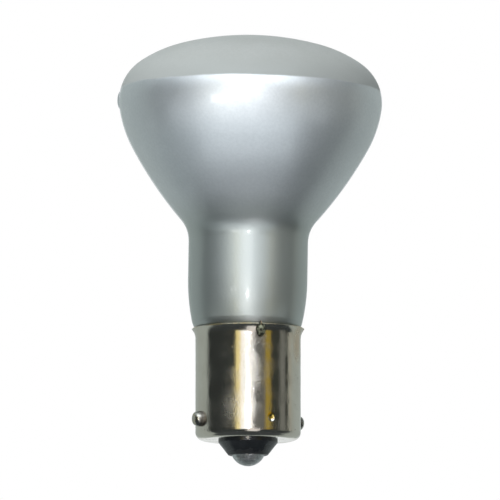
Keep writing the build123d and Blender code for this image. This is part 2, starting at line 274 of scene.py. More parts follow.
def card(name, azimuths, elevations, colour, distance=1.0, small=False):
    """A glowing patch of a ball about the bulb, between two azimuths and elevations."""
    rows = [
        [CARD_CENTRE + direction(CAMERA_BEARING + a, e) * distance for a in steps(*azimuths, CARD_STEP)]
        for e in steps(*elevations, CARD_STEP)
    ]
    return glowing_sheet(name, rows, colour, small)


def ledge(name, azimuths, radii, height, colour, small=False):
    """A level piece of a ring round the bulb, outer radius first, that glows upwards."""
    lift = Vector((0, 0, height))
    rows = [
        [lift + direction(CAMERA_BEARING + a, 0) * r for a in steps(*azimuths, CARD_STEP)]
        for r in radii
    ]
    return glowing_sheet(name, rows, colour, small, one_sided=True)


# %% [markdown]
# The cap is upright and polished, so it mirrors only the things near eye level. From
# left to right it shows a dark room, a warm strip, a bright window, a dim wall, a
# thin yellow strip and the dark room again, and at both edges the wall behind. The
# glass is rounder and has a satin silver, so it blurs the whole room: it shows a
# tall window as a broad glow. White ledges stand close round the bulb, just above
# the cap's lip. They light the underside of the bowl, and the cap can't see them. The
# soft lamp that makes the hot spot on the silver lies on them for the same reason. A
# tiny, very bright flash gives the sharp dots on the smooth glass.

# %% Set up the cards
EYE_LEVEL = (-20.0, 17.0)
LEDGE_HEIGHT = 13.6 * MM
LIP_RADII = (14.5 * MM, 11.5 * MM)
NEAR_RADII = (72 * MM, 31 * MM)
FAR_RADII = (150 * MM, 72 * MM)
LAMP_HEIGHT = 14.0 * MM
LAMP_RADII = (221 * MM, 112 * MM)

# a card has azimuths and elevations in degrees, a colour, and a distance in metres
cards = [
    card("dark_room", (0, 360), (-90, 90), (0.045, 0.052, 0.056), 1.50),
    card("wall_behind", (111, 261.5), (-48, 62), (0.415, 0.465, 0.455), 1.40),
    card("window_behind", (168, 194), EYE_LEVEL, (0.86, 0.90, 0.92), 1.36),
    card("wall_behind_edge", (98.5, 111), (-10, 17), (0.43, 0.44, 0.40), 1.40),
    card("pale_wall_left", (-98.5, -50), (26, 75), (0.80, 0.88, 0.92), 1.35),
    card("pale_wall_right", (50, 98.5), (26, 75), (0.11, 0.12, 0.125), 1.35),
    card("tall_window", (-52, 52), (24, 58), (2.45, 2.60, 2.75), 1.35),
    card("table_below", (0, 360), (-90, -48), (0.060, 0.069, 0.074), 1.30),
    card("dark_left", (-98.5, -27), EYE_LEVEL, (0.035, 0.040, 0.040), 1.25),
    card("dark_right", (38, 98.5), EYE_LEVEL, (0.045, 0.050, 0.045), 1.25),
    card("warm_strip", (-27, -16.5), EYE_LEVEL, (1.15, 0.98, 0.46), 1.20),
    card("window", (-16.5, 9.5), (-6, 17), (1.45, 1.47, 1.55), 1.20),
    card("window_foot", (-3, 28), (-50, -6), (0.98, 0.96, 0.98), 1.20),
    card("upper_window_right", (11.5, 44), (14, 24), (2.1, 2.2, 2.3), 1.20),
    card("dim_wall", (11.5, 38), (-20, 14), (0.145, 0.145, 0.14), 1.20),
    card("yellow_strip", (38, 51), EYE_LEVEL, (0.40, 0.30, 0.060), 1.15),
    card("thin_strip", (74, 89), EYE_LEVEL, (0.22, 0.23, 0.22), 1.15),
    card("wall_right", (44, 98.5), (17, 26), (0.30, 0.32, 0.32), 1.20),
    card("upper_window_left", (-50, -16.5), (17, 25), (1.5, 1.56, 1.6), 1.20),
    card("window_foot_left", (-16.5, -3), (-20, -6), (1.30, 1.32, 1.40), 1.20),
    card("flash", (-1.3, 1.3), (-5.5, -4.8), (620.0, 610.0, 620.0), 1.0, small=True),
    ledge("soft_lamp", (-33, -19), LAMP_RADII, LAMP_HEIGHT, (8.0, 8.2, 8.4), small=True),
    ledge("lip_ledge", (-60, 60), LIP_RADII, LEDGE_HEIGHT, (0.80, 0.86, 0.84)),
    ledge("near_ledge_front", (-48, 43), NEAR_RADII, LEDGE_HEIGHT, (0.89, 0.96, 1.01)),
    ledge("near_ledge_left", (-100, -48), NEAR_RADII, LEDGE_HEIGHT, (0.26, 0.30, 0.31)),
    ledge("far_ledge", (-74, 70), FAR_RADII, LEDGE_HEIGHT, (0.64, 0.69, 0.72)),
]
print("cards:", len(cards))

# %% [markdown]
# ## Key lamp
# The frosted face is a little brighter on the left, with no hard edge. A sun or a
# point lamp would draw one, so one large soft lamp, high up at the front and left,
# shapes the matt surfaces. Mirror rays don't see it, because the cards already say
# what the metal shows.

# %% Hang the key lamp
KEY_BEARING = CAMERA_BEARING - 24
KEY_ELEVATION = 48.0
KEY_DISTANCE = 1.2
KEY_SIZE = 0.7
KEY_POWER = 11.6

key_data = bpy.data.lights.new("key_lamp", "AREA")
key_data.shape = "DISK"
key_data.size = KEY_SIZE
key_data.energy = KEY_POWER
key = bpy.data.objects.new("key_lamp", key_data)
to_key = direction(KEY_BEARING, KEY_ELEVATION)
key.location = to_key * KEY_DISTANCE
key.rotation_mode = "QUATERNION"
key.rotation_quaternion = to_key.to_track_quat("Z", "Y")
key.visible_glossy = False
bpy.context.scene.collection.objects.link(key)
print("key lamp in watts:", KEY_POWER)

# %% [markdown]
# ## Shared effects
# Several finishes need the same small effects. Their nodes could be copied from tree
# to tree, but a node group is built once, and each finish places it with values of
# its own. A group takes the place on the surface in millimetres and gives back a mask
# from 0 to 1, or a height. The shaders stay in the materials.


# %% Helpers for groups
def new_group(name, inputs, output):
    """An empty node group. Inputs are names with their usual values."""
    tree = bpy.data.node_groups.new(name, "ShaderNodeTree")
    tree.interface.new_socket("Place", in_out="INPUT", socket_type="NodeSocketVector")
    for label, value in inputs.items():
        kind = "NodeSocketVector" if isinstance(value, tuple) else "NodeSocketFloat"
        socket = tree.interface.new_socket(label, in_out="INPUT", socket_type=kind)
        socket.default_value = value
    tree.interface.new_socket(output, in_out="OUTPUT", socket_type="NodeSocketFloat")
    return tree, tree.nodes.new("NodeGroupInput").outputs, tree.nodes.new("NodeGroupOutput")


def use_group(tree, group, place_on_surface, **values):
    """Puts a group into a material with its own values, and gives its output."""
    made = place(tree, "ShaderNodeGroup", node_tree=group)
    tree.links.new(place_on_surface, made.inputs["Place"])
    for label, value in values.items():
        socket = made.inputs[label.replace("_", " ")]
        if isinstance(value, bpy.types.NodeSocket):
            tree.links.new(value, socket)
        else:
            socket.default_value = value
    return made.outputs[0]


# %% [markdown]
# Soft patches are for stains, haze and slow changes of colour. They could be painted
# on a map, but noise needs none, and has no seams. It gives a smooth random field,
# and a smooth step turns that into patches: Coverage says how much of the surface
# they take, and Softness how blurred their borders are.

# %% Group: soft patches
# noise lies mostly between these two, so coverage is turned into a level there
NOISE_LOW = 0.3
NOISE_HIGH = 0.7

usual = {"Size": 2.0, "Coverage": 0.5, "Softness": 0.2, "Detail": 3.0, "Offset": (0.0, 0.0, 0.0)}
soft_patches, given, result = new_group("soft_patches", usual, "Mask")
where = place(soft_patches, "ShaderNodeVectorMath", {0: given["Place"], 1: given["Offset"]}).outputs[0]
frequency = calculate(soft_patches, "DIVIDE", 1.0, given["Size"])
noise = place(
    soft_patches,
    "ShaderNodeTexNoise",
    {"Vector": where, "Scale": frequency, "Detail": given["Detail"]},
).outputs["Fac"]
level = calculate(soft_patches, "MULTIPLY_ADD", given["Coverage"], NOISE_LOW - NOISE_HIGH, NOISE_HIGH)
low = calculate(soft_patches, "SUBTRACT", level, given["Softness"])
high = calculate(soft_patches, "ADD", level, given["Softness"])
step = place(
    soft_patches,
    "ShaderNodeMapRange",
    {"Value": noise, "From Min": low, "From Max": high},
    interpolation_type="SMOOTHSTEP",
)
soft_patches.links.new(step.outputs[0], result.inputs[0])
print("group:", soft_patches.name)

# %% [markdown]
# Specks are for pits and dust. The peaks of noise would be ragged ones, so a Voronoi
# texture scatters cells, and each cell gets a round dot in its middle. A random
# number for each cell leaves most of them empty, and noise bends the rest, so the
# dots don't look like a grid.

# %% Group: specks
WOBBLE = (0.6, 0.6, 0.6)
DOT_EDGE = 1.4
DOT_CORE = 0.6

usual = {"Spacing": 1.0, "Size": 0.3, "Share": 0.3}
specks, given, result = new_group("specks", usual, "Mask")
frequency = calculate(specks, "DIVIDE", 1.0, given["Spacing"])
wobble = place(specks, "ShaderNodeTexNoise", {"Vector": given["Place"], "Scale": frequency})
bent = place(
    specks,
    "ShaderNodeVectorMath",
    {0: wobble.outputs["Color"], 1: WOBBLE, 2: given["Place"]},
    operation="MULTIPLY_ADD",
).outputs[0]
cells = place(specks, "ShaderNodeTexVoronoi", {"Vector": bent, "Scale": frequency})
dot_edge = calculate(specks, "MULTIPLY", given["Size"], DOT_EDGE)
dot_core = calculate(specks, "MULTIPLY", given["Size"], DOT_CORE)
dot = place(
    specks,
    "ShaderNodeMapRange",
    {"Value": cells.outputs["Distance"], "From Min": dot_edge, "From Max": dot_core},
    interpolation_type="SMOOTHSTEP",
).outputs[0]
lot = place(specks, "ShaderNodeSeparateColor", {"Color": cells.outputs["Color"]}).outputs[0]
chosen = calculate(specks, "LESS_THAN", lot, given["Share"])
specks.links.new(calculate(specks, "MULTIPLY", dot, chosen), result.inputs[0])
print("group:", specks.name)

# %% [markdown]
# A spot marks one place, such as a flux stain or a hazy patch. A thin piece laid on
# the metal could show a stain, but a mask can change the metal itself. It is an
# ellipsoid about a point, and noise makes its border uneven. Noise less its middle
# value is small, so Wander is multiplied before it counts.

# %% Group: spot
NOISE_MIDDLE = 0.5
SPOT_SWAY = 2.0

usual = {
    "Centre": (0.0, 0.0, 0.0),
    "Reach": (1.0, 1.0, 1.0),
    "Softness": 0.5,
    "Wander": 0.4,
    "Wander Size": 1.0,
}
spot, given, result = new_group("spot", usual, "Mask")
away = place(spot, "ShaderNodeVectorMath", {0: given["Place"], 1: given["Centre"]}, operation="SUBTRACT")
scaled = place(spot, "ShaderNodeVectorMath", {0: away.outputs[0], 1: given["Reach"]}, operation="DIVIDE")
distance = place(spot, "ShaderNodeVectorMath", {0: scaled.outputs[0]}, operation="LENGTH").outputs["Value"]
frequency = calculate(spot, "DIVIDE", 1.0, given["Wander Size"])
noise = place(spot, "ShaderNodeTexNoise", {"Vector": given["Place"], "Scale": frequency, "Detail": 4.0})
sway = calculate(spot, "SUBTRACT", noise.outputs["Fac"], NOISE_MIDDLE)
strength = calculate(spot, "MULTIPLY", given["Wander"], SPOT_SWAY)
distance = calculate(spot, "MULTIPLY_ADD", sway, strength, distance)
far = calculate(spot, "ADD", 1.0, given["Softness"])
near = calculate(spot, "SUBTRACT", 1.0, given["Softness"])
fade = place(
    spot,
    "ShaderNodeMapRange",
    {"Value": distance, "From Min": far, "From Max": near},
    interpolation_type="SMOOTHSTEP",
)
spot.links.new(fade.outputs[0], result.inputs[0])
print("group:", spot.name)

# %% [markdown]
# An uneven edge divides two finishes at a level, such as silver and frost on the
# glass, or plate and bare metal on the lip. A plain step would be as straight as a
# ruler, so noise makes the level wander a little, as it does where a coat ends.

# %% Group: uneven edge
EDGE_SWAY = 4.0

usual = {"Height": 0.0, "Level": 0.0, "Softness": 0.1, "Wander": 0.1, "Wander Size": 3.0}
uneven_edge, given, result = new_group("uneven_edge", usual, "Mask")
frequency = calculate(uneven_edge, "DIVIDE", 1.0, given["Wander Size"])
noise = place(
    uneven_edge, "ShaderNodeTexNoise", {"Vector": given["Place"], "Scale": frequency, "Detail": 3.0}
)
sway = calculate(uneven_edge, "SUBTRACT", noise.outputs["Fac"], NOISE_MIDDLE)
strength = calculate(uneven_edge, "MULTIPLY", given["Wander"], EDGE_SWAY)
level = calculate(uneven_edge, "MULTIPLY_ADD", sway, strength, given["Level"])
low = calculate(uneven_edge, "SUBTRACT", level, given["Softness"])
high = calculate(uneven_edge, "ADD", level, given["Softness"])
step = place(
    uneven_edge,
    "ShaderNodeMapRange",
    {"Value": given["Height"], "From Min": low, "From Max": high},
    interpolation_type="SMOOTHSTEP",
)
uneven_edge.links.new(step.outputs[0], result.inputs[0])
print("group:", uneven_edge.name)

# %% [markdown]
# Drawn lines are the fine marks that a die leaves along a cap. An anisotropic shader
# would blur them into a sheen, but here they fray the edges of the stripes, so they
# are a relief: noise that is stretched along the surface. The cap is round, so the
# place is unrolled first, and the bearing becomes a length.

# %% Group: drawn lines
usual = {"Radius": 7.6, "Along": 4.0, "Around": 0.15}
drawn_lines, given, result = new_group("drawn_lines", usual, "Height")
axes = place(drawn_lines, "ShaderNodeSeparateXYZ", {0: given["Place"]}).outputs
bearing = calculate(drawn_lines, "ARCTAN2", axes["Y"], axes["X"])
round_length = calculate(drawn_lines, "MULTIPLY", bearing, given["Radius"])
unrolled = place(
    drawn_lines,
    "ShaderNodeCombineXYZ",
    {
        "X": calculate(drawn_lines, "DIVIDE", round_length, given["Around"]),
        "Y": calculate(drawn_lines, "DIVIDE", axes["Z"], given["Along"]),
    },
).outputs[0]
lines = place(drawn_lines, "ShaderNodeTexNoise", {"Vector": unrolled, "Scale": 1.0, "Detail": 2.0})
drawn_lines.links.new(lines.outputs["Fac"], result.inputs[0])
print("group:", drawn_lines.name)


# %% [markdown]
# ## Helpers for finishes
# Every finish starts the same way: a Principled shader, and the place on the surface
# in millimetres. A UV map could give that place, but the object's own coordinates need
# no unwrapping, and they keep a pattern on its piece when the piece moves. Values that
# are the same all over stand on the shader.


# %% Helpers for finishes
def new_finish(name, **plain):
    """A material with a Principled shader. Gives the material, its tree, shader and place."""
    material = bpy.data.materials.new(name)
    material.use_nodes = True
    tree = material.node_tree
    tree.nodes.clear()
    shader = place(tree, "ShaderNodeBsdfPrincipled", {k.replace("_", " "): v for k, v in plain.items()})
    place(tree, "ShaderNodeOutputMaterial", {"Surface": shader.outputs[0]})
    metres = place(tree, "ShaderNodeTexCoord").outputs["Object"]
    millimetres = place(
        tree, "ShaderNodeVectorMath", {0: metres, "Scale": 1 / MM}, operation="SCALE"
    ).outputs[0]
    return material, tree, shader, millimetres


def add_bump(tree, shader, height, strength, depth):
    """A bump whose height runs from 0 to 1 over a depth in millimetres."""
    sockets = {"Height": height, "Strength": strength, "Distance": depth * MM}
    bump = place(tree, "ShaderNodeBump", sockets)
    tree.links.new(bump.outputs[0], shader.inputs["Normal"])


def dress(material, *names):
    """Puts a material into every slot of the named pieces."""
    for name in names:
        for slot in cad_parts[name].material_slots:
            slot.material = material
    print(material.name, "on", ", ".join(names))


# %% [markdown]
# ## Silvered and frosted glass
# The glass is clear and smooth outside. Inside it is silvered up to the widest place,
# and the layer has a satin look, because the inside of the glass was etched first.
# The face is only etched, so it is a matt pale grey-green. Clear glass over an inner
# silver skin could show this, but the inside can't be seen, so one opaque material
# gives the same look with less noise. Its masks come first, measured along the glass's
# own axis, which leans by a degree: the face above the silver, the frost beyond the
# darker band next to the silver, and the bowl above the neck, which is a duller grey.

# %% Glass: where each look lies
GLASS_LEAN = radians(1.0)
SILVER_EDGE = 47.85
FROST_BAND = SILVER_EDGE + 2.2
NECK_TOP = 29.5

glass, tree, shader, mm = new_finish("silvered_glass", IOR=1.5, Coat_Roughness=0.11, Coat_IOR=1.5)
axis = (sin(GLASS_LEAN), 0, cos(GLASS_LEAN))
height = place(tree, "ShaderNodeVectorMath", {0: mm, 1: axis}, operation="DOT_PRODUCT").outputs["Value"]
face = use_group(
    tree, uneven_edge, mm, Height=height, Level=SILVER_EDGE, Softness=0.16, Wander=0.12, Wander_Size=7.0
)
past_band = use_group(
    tree, uneven_edge, mm, Height=height, Level=FROST_BAND, Softness=2.2, Wander=0.3, Wander_Size=6.0
)
bowl = use_group(
    tree, uneven_edge, mm, Height=height, Level=NECK_TOP, Softness=3.0, Wander=0.3, Wander_Size=5.0
)
cloud = use_group(tree, soft_patches, mm, Size=5.0, Coverage=0.5, Softness=0.2)
mottle = use_group(tree, soft_patches, mm, Size=0.4, Coverage=0.5, Softness=0.25, Detail=2.0)
print("height in mm where the silver ends:", SILVER_EDGE)

# %% [markdown]
# Now each look gets its colour, its roughness and its share of metal. The smooth
# outside of the glass could be a shader of its own, mixed in by Fresnel. The coat of
# the Principled shader does the same, and gives the small sharp lights.

# %% Glass: colour and gloss
SILVER = (0.785, 0.815, 0.835)
CLOUDED_SILVER = (0.745, 0.775, 0.795)
MOTTLED_SILVER = (0.695, 0.725, 0.745)
NECK_SILVER = (0.495, 0.53, 0.515)
FROST = (0.50, 0.535, 0.53)
CLOUDED_FROST = (0.47, 0.505, 0.495)
MOTTLED_FROST = (0.43, 0.47, 0.465)
BAND_FROST = (0.42, 0.455, 0.45)
SATIN = (0.48, 0.54)
NECK_SATIN = 0.45
MATT = (0.58, 0.68)
COAT_ON_SILVER = 0.7
COAT_ON_FROST = 0.15

silver = blend_colours(tree, cloud, SILVER, CLOUDED_SILVER)
silver = blend_colours(tree, weaken(tree, mottle, 0.5), silver, MOTTLED_SILVER)
silver = blend_colours(tree, bowl, NECK_SILVER, silver)
frost = blend_colours(tree, cloud, FROST, CLOUDED_FROST)
frost = blend_colours(tree, weaken(tree, mottle, 0.3), frost, MOTTLED_FROST)
frost = blend_colours(tree, past_band, BAND_FROST, frost)
tree.links.new(blend_colours(tree, face, silver, frost), shader.inputs["Base Color"])
satin = blend_values(tree, mottle, *SATIN)
satin = blend_values(tree, bowl, NECK_SATIN, satin)
matt = blend_values(tree, mottle, *MATT)
tree.links.new(blend_values(tree, face, satin, matt), shader.inputs["Roughness"])
tree.links.new(calculate(tree, "SUBTRACT", 1.0, face), shader.inputs["Metallic"])
coat = blend_values(tree, face, COAT_ON_SILVER, COAT_ON_FROST)
tree.links.new(coat, shader.inputs["Coat Weight"])
add_bump(tree, shader, mottle, strength=0.25, depth=0.02)
dress(glass, "glass_envelope")

# %% [markdown]
# ## Nickel plate on the cap
# The cap is drawn from brass sheet and plated with nickel, which is bright but a
# little yellow. Handling has worn it: there are scuffs, pits and fine lines, and the
# scuffs are patches of tiny dents, which break up the edges of the reflected stripes.
# The dents are a hundredth of a millimetre deep, so a bump does for them.

# %% Nickel: wear all over
nickel, tree, shader, mm = new_finish("nickel_plate", Metallic=1.0)
tone = use_group(tree, soft_patches, mm, Size=3.0, Coverage=0.5, Softness=0.2)
scuffs = use_group(tree, soft_patches, mm, Size=2.2, Coverage=0.45, Softness=0.12, Offset=(4.0, 1.0, 7.0))
dents = use_group(tree, soft_patches, mm, Size=0.26, Coverage=0.5, Softness=0.28, Detail=3.0)
pits = use_group(tree, specks, mm, Spacing=0.8, Size=0.14, Share=0.22)
lines = use_group(tree, drawn_lines, mm, Along=5.0, Around=0.14)
print(nickel.name, "has", len(tree.nodes), "nodes so far")

# %% [markdown]
# Other marks have a place of their own. Hands have rubbed the plate in front, it is
# hazy on the lower left, and flux from the soldering has left a brown smear on the
# upper right. Flux and grime have dried on the two ends of the lip, and the burr at the
# opening is dull. The front dimple gets a painted reflection: a yellow spot where it
# mirrors a yellow strip. Each could be a few lines of its own, but a table shows them
# side by side. The plate is thin on the edge of the lip, which is found by its height
# along a slanted axis.

# %% Nickel: marks in their places
LIP_AXIS = (0.6225, 0.7826)
LIP_EDGE = 15.41
BARE_DEPTH = 0.06

# a row: centre, reach, softness, how far the border wanders, and the size of its waves
spots = {
    "rubbed": ((-2.7, -7.1, 6.0), (1.2, 1.0, 5.0), 0.6, 0.4, 1.5),
    "smear": ((5.2, -5.6, 10.9), (1.3, 1.3, 2.4), 0.8, 0.6, 0.9),
    "haze": ((-5.6, -5.1, 1.4), (2.2, 1.8, 3.4), 1.0, 0.5, 0.6),
    "flux": ((7.6, -3.6, 13.1), (1.0, 1.0, 0.6), 0.4, 0.6, 0.5),
    "grime": ((-7.6, 3.7, 13.1), (0.8, 0.8, 0.4), 0.4, 0.6, 0.4),
    "burr": ((-1.9, -3.9, -2.9), (0.5, 0.5, 0.4), 0.3, 0.1, 0.3),
    # the front dimple's spot is a painted reflection of a yellow strip
    "brass": ((0.0, -7.6, 0.1), (0.55, 0.6, 0.55), 0.3, 0.2, 0.3),
}
marks = {}
for name, (centre, reach, softness, wander, size) in spots.items():
    marks[name] = use_group(
        tree, spot, mm, Centre=centre, Reach=reach, Softness=softness, Wander=wander, Wander_Size=size
    )
# squared, the haze fades out more slowly
haze = calculate(tree, "MULTIPLY", marks["haze"], marks["haze"])

parts = place(tree, "ShaderNodeSeparateXYZ", {0: mm}).outputs
flat = place(tree, "ShaderNodeCombineXYZ", {"X": parts["X"], "Y": parts["Y"]}).outputs[0]
radius = place(tree, "ShaderNodeVectorMath", {0: flat}, operation="LENGTH").outputs["Value"]
upward = calculate(tree, "MULTIPLY", parts["Z"], LIP_AXIS[1])
lip_height = calculate(tree, "MULTIPLY_ADD", radius, LIP_AXIS[0], upward)
edge = use_group(
    tree,
    uneven_edge,
    mm,
    Height=lip_height,
    Level=LIP_EDGE - BARE_DEPTH,
    Softness=0.04,
    Wander=0.05,
    Wander_Size=0.8,
)
gaps = use_group(tree, soft_patches, mm, Size=2.4, Coverage=0.5, Softness=0.15, Offset=(3.0, 2.0, 0.0))
bare_lip = calculate(tree, "MULTIPLY", edge, gaps)
print("marks:", ", ".join(marks))

# %% [markdown]
# The colours go on in layers, from the plate itself to the marks that lie over it.
# Each layer could be written out, but a list of them is easier to read and to change.

# %% Nickel: colour
PLATE = (0.69, 0.655, 0.575)
YELLOWER_PLATE = (0.64, 0.60, 0.52)

tarnish = weaken(tree, calculate(tree, "MULTIPLY", marks["rubbed"], dents), 0.7)
# a row: where the layer lies, and its colour
plate_layers = [
    (weaken(tree, pits, 0.6), (0.22, 0.20, 0.16)),
    (tarnish, (0.40, 0.40, 0.38)),
    (weaken(tree, marks["smear"], 0.8), (0.62, 0.49, 0.34)),
    (weaken(tree, marks["flux"], 0.9), (0.46, 0.32, 0.17)),
    (weaken(tree, marks["grime"], 0.9), (0.16, 0.15, 0.13)),
    (marks["burr"], (0.34, 0.33, 0.29)),
    # painted reflection: the yellow strip, painted into the front dimple
    (marks["brass"], (0.72, 0.55, 0.16)),
    (bare_lip, (0.56, 0.46, 0.27)),
]
colour = blend_colours(tree, tone, PLATE, YELLOWER_PLATE)
for mask, layer in plate_layers:
    colour = blend_colours(tree, mask, colour, layer)
tree.links.new(colour, shader.inputs["Base Color"])
print("layers over the plate:", len(plate_layers))

# %% [markdown]
# Dirt and stains are rougher than the plate, so the roughness goes on in layers too.

# %% Nickel: gloss
PLATE_ROUGHNESS = 0.13
SCUFFED_ROUGHNESS = 0.20

dirt = calculate(tree, "MAXIMUM", marks["flux"], marks["grime"])
dull = calculate(tree, "MAXIMUM", marks["burr"], dirt)
rough_layers = [(haze, 0.30), (marks["smear"], 0.32), (dull, 0.45), (bare_lip, 0.35)]
rough = blend_values(tree, scuffs, PLATE_ROUGHNESS, SCUFFED_ROUGHNESS)
for mask, roughness in rough_layers:
    rough = blend_values(tree, mask, rough, roughness)
tree.links.new(rough, shader.inputs["Roughness"])
print("roughness from", PLATE_ROUGHNESS, "to", max(roughness for mask, roughness in rough_layers))

# %% [markdown]
# The relief is tiny dents, deepest where the plate is scuffed or rubbed, plus the
# drawn lines, less the pits. Three bumps in a row could do it, but one sum of heights
# keeps their depths in proportion.

# %% Nickel: relief
DENTS_ELSEWHERE = 0.2
DENTS_IN_SCUFFS = 0.6
DENTS_WHERE_RUBBED = 1.2
LINE_HEIGHT = 0.25
PIT_DEPTH = 0.8

worn = calculate(tree, "MULTIPLY_ADD", scuffs, DENTS_IN_SCUFFS, DENTS_ELSEWHERE)
worn = calculate(tree, "MULTIPLY_ADD", marks["rubbed"], DENTS_WHERE_RUBBED, worn)
relief = calculate(tree, "MULTIPLY", dents, worn)
relief = calculate(tree, "MULTIPLY_ADD", lines, LINE_HEIGHT, relief)
relief = calculate(tree, "SUBTRACT", relief, weaken(tree, pits, PIT_DEPTH))
add_bump(tree, shader, relief, strength=1.0, depth=0.013)
dress(nickel, "cap_shell")

# %% [markdown]
# ## Domed pins
# The model's pins have flat ends. Real ones are pressed to a dome when they are
# riveted, and a dome mirrors the whole room as a dark ring round one bright dot. So
# each pin is turned again here as a mesh. First comes its outline, from the riveted
# head inside the cap to the tip. The dome is a rounded box curve, fuller than a ball.

# %% Draw the pin's outline
PIN_SEAT = 7.5 * MM
PIN_RADIUS = 1.12 * MM
SHANK_RADIUS = 0.9 * MM
RIVET_THICKNESS = 0.4 * MM
DOME_POWER = 2 / 3.2
DOME_STEPS = 18

pin_low, pin_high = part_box("bayonet_pin_right")
tip = pin_high.x
rivet_radius = pin_high.z
outline = [
    (pin_low.x, 0),
    (pin_low.x, rivet_radius),
    (pin_low.x + RIVET_THICKNESS, rivet_radius),
    (pin_low.x + RIVET_THICKNESS, SHANK_RADIUS),
    (PIN_SEAT, SHANK_RADIUS),
]
for i in range(DOME_STEPS):
    turn = radians(90 * i / DOME_STEPS)
    along = PIN_SEAT + (tip - PIN_SEAT) * sin(turn) ** DOME_POWER
    outline.append((along, PIN_RADIUS * cos(turn) ** DOME_POWER))
outline.append((tip, 0))
print("pins reach in mm:", round(tip / MM, 2))

# %% [markdown]
# The outline is spun about the pin's axis. The Screw modifier can spin one too, but
# plain mesh code closes the ends neatly: both lie on the axis, so each is one point
# with a fan of triangles. The pins stand for the model's own two.

# %% Turn the pins
PIN_SIDES = 56
SHARP_ANGLE = radians(45)


def turned_pin(name, replaced, facing):
    """A riveted pin along X with a domed end. Facing is 1 for +X and -1 for -X."""
    turns = [2 * pi * k / PIN_SIDES for k in range(PIN_SIDES)]
    points = [(facing * x, facing * r * sin(a), r * cos(a)) for x, r in outline[1:-1] for a in turns]
    last_ring = (len(outline) - 3) * PIN_SIDES
    head = len(points)
    points += [(facing * outline[0][0], 0, 0), (facing * outline[-1][0], 0, 0)]
    faces = []
    for k in range(PIN_SIDES):
        after = (k + 1) % PIN_SIDES
        faces.append((head, k, after))
        for ring in range(0, last_ring, PIN_SIDES):
            above = ring + PIN_SIDES
            faces.append((ring + k, above + k, above + after, ring + after))
        faces.append((head + 1, last_ring + after, last_ring + k))
    mesh = bpy.data.meshes.new(name)
    mesh.from_pydata(points, [], faces)
    mesh.shade_smooth()
    mesh.set_sharp_from_angle(angle=SHARP_ANGLE)
    made = bpy.data.objects.new(name, mesh)
    bpy.context.scene.collection.objects.link(made)
    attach(made, "root")
    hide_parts(replaced)
    return made


pins = [
    turned_pin("domed_pin_right", "bayonet_pin_right", 1),
    turned_pin("domed_pin_left", "bayonet_pin_left", -1),
]
print("faces of a pin:", len(pins[0].data.polygons))

# %% [markdown]
# The pins are plated brass too, but they rub in every lamp holder, so they are
# duller, with brass showing through on their ends. The corner between pin and cap
# gets painted shade: a dark colour near the cap. The cap's nickel would fit them badly,
# because its marks have places on the cap, so the pins have a finish that goes by the
# distance from the bulb's middle.

# %% Finish: pins
PIN_PLATE = (0.50, 0.49, 0.45)
DULL_PIN_PLATE = (0.42, 0.41, 0.37)
# painted shade: the pins are darker where they meet the cap
PAINTED_PIN_SHADE = (0.20, 0.19, 0.17)
PIN_BRASS = (0.60, 0.49, 0.28)
END_STARTS = 8.6
PIN_SHADE_ENDS = 8.1

pin_metal, tree, shader, mm = new_finish("pin_metal", Metallic=1.0)
tone = use_group(tree, soft_patches, mm, Size=0.8, Coverage=0.5, Softness=0.2)
wear = use_group(tree, soft_patches, mm, Size=0.35, Coverage=0.35, Softness=0.1, Offset=(2.0, 5.0, 1.0))
side_of_pin = place(tree, "ShaderNodeSeparateXYZ", {0: mm}).outputs["X"]
reach = calculate(tree, "ABSOLUTE", side_of_pin)
pin_end = use_group(
    tree, uneven_edge, mm, Height=reach, Level=END_STARTS, Softness=0.2, Wander=0.1, Wander_Size=0.5
)
worn = calculate(tree, "MULTIPLY", pin_end, wear)
# 0 in the painted shade near the cap, 1 further out along the pin
outside_pin_shade = use_group(
    tree, uneven_edge, mm, Height=reach, Level=PIN_SHADE_ENDS, Softness=0.22, Wander=0.08, Wander_Size=0.5
)
colour = blend_colours(tree, tone, PIN_PLATE, DULL_PIN_PLATE)
colour = blend_colours(tree, outside_pin_shade, PAINTED_PIN_SHADE, colour)
tree.links.new(blend_colours(tree, worn, colour, PIN_BRASS), shader.inputs["Base Color"])
rough = blend_values(tree, wear, 0.20, 0.30)
tree.links.new(blend_values(tree, outside_pin_shade, 0.5, rough), shader.inputs["Roughness"])
add_bump(tree, shader, wear, strength=0.3, depth=0.006)
for pin in pins:
    pin.data.materials.append(pin_metal)
print(pin_metal.name, "on", len(pins), "pins")

# %% [markdown]
# ## Black glass
# The insulator is moulded glass, nearly black, with a soft gloss. Its surface has
# slow waves from the mould, some fine dust, and a grey bloom near the solder, where
# the flux has boiled off. Glass so dark lets no light through, so it needs no
# transmission, only a dark colour under the gloss.

# %% Finish: black glass
BLACK = (0.019, 0.022, 0.026)
BLUER_BLACK = (0.027, 0.031, 0.036)
BLOOM = (0.060, 0.066, 0.068)
DUST = (0.14, 0.14, 0.13)
BLOOM_DEPTH = 4.6

black_glass, tree, shader, mm = new_finish("black_glass", IOR=1.55)
waves = use_group(tree, soft_patches, mm, Size=1.6, Coverage=0.5, Softness=0.3)
dust = use_group(tree, specks, mm, Spacing=0.5, Size=0.14, Share=0.3)
upwards = place(tree, "ShaderNodeSeparateXYZ", {0: mm}).outputs["Z"]
depth = calculate(tree, "MULTIPLY", upwards, -1.0)
bloom = use_group(
    tree, uneven_edge, mm, Height=depth, Level=BLOOM_DEPTH, Softness=0.5, Wander=0.4, Wander_Size=0.9
)
colour = blend_colours(tree, waves, BLACK, BLUER_BLACK)
colour = blend_colours(tree, weaken(tree, bloom, 0.5), colour, BLOOM)
colour = blend_colours(tree, weaken(tree, dust, 0.5), colour, DUST)
tree.links.new(colour, shader.inputs["Base Color"])
rough = blend_values(tree, waves, 0.16, 0.26)
tree.links.new(blend_values(tree, bloom, rough, 0.5), shader.inputs["Roughness"])
